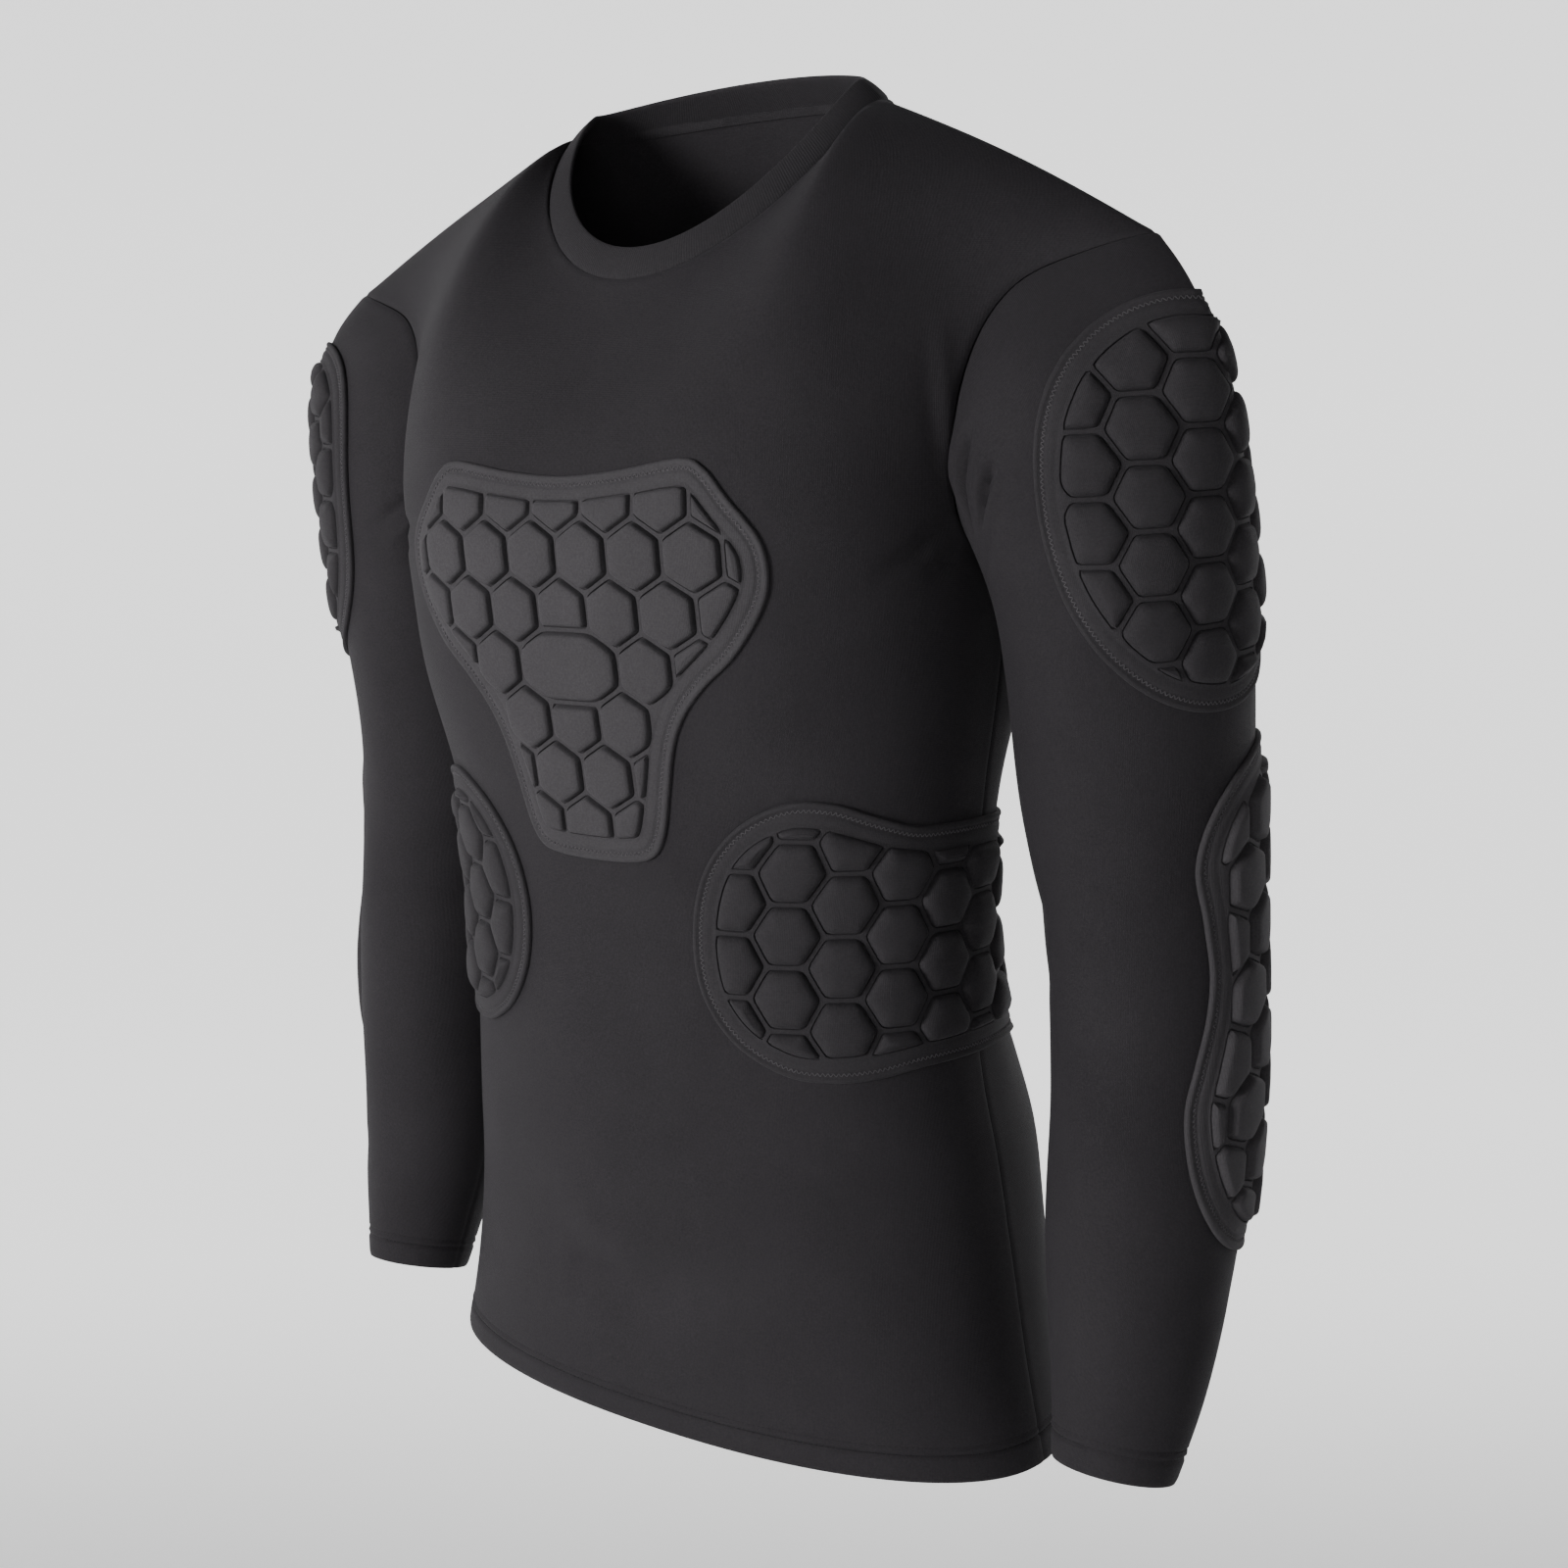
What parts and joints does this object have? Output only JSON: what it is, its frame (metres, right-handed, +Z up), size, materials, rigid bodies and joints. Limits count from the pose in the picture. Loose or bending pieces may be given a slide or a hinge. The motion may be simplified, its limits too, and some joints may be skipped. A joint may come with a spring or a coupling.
{
  "type": "padded compression shirt",
  "caption": "Long-sleeved stretch shirt, filled out as worn, with raised cellular pads on chest, ribs, shoulders and elbows and an open neck, hem and cuffs.",
  "frame": {"origin": "midway between the two points where the shoulder seams meet the neckband", "axes": "+Z up along the body, -Y to the front, +X to the wearer's left"},
  "size_m": [0.6052, 0.2952, 0.7223],
  "materials": {
    "jersey": "matt stretch jersey",
    "padding": "matt stretch jersey over foam",
    "rib": "matt ribbed knit"
  },
  "bodies": {
    "root": {"front": "jersey", "back": "jersey", "sleeve_left": "jersey", "sleeve_right": "jersey", "neckband": "rib", "chest_pad": "padding", "rib_pad_left": "padding", "rib_pad_right": "padding", "shoulder_pad_left": "padding", "shoulder_pad_right": "padding", "elbow_pad_left": "padding", "elbow_pad_right": "padding"}
  },
  "joints": []
}
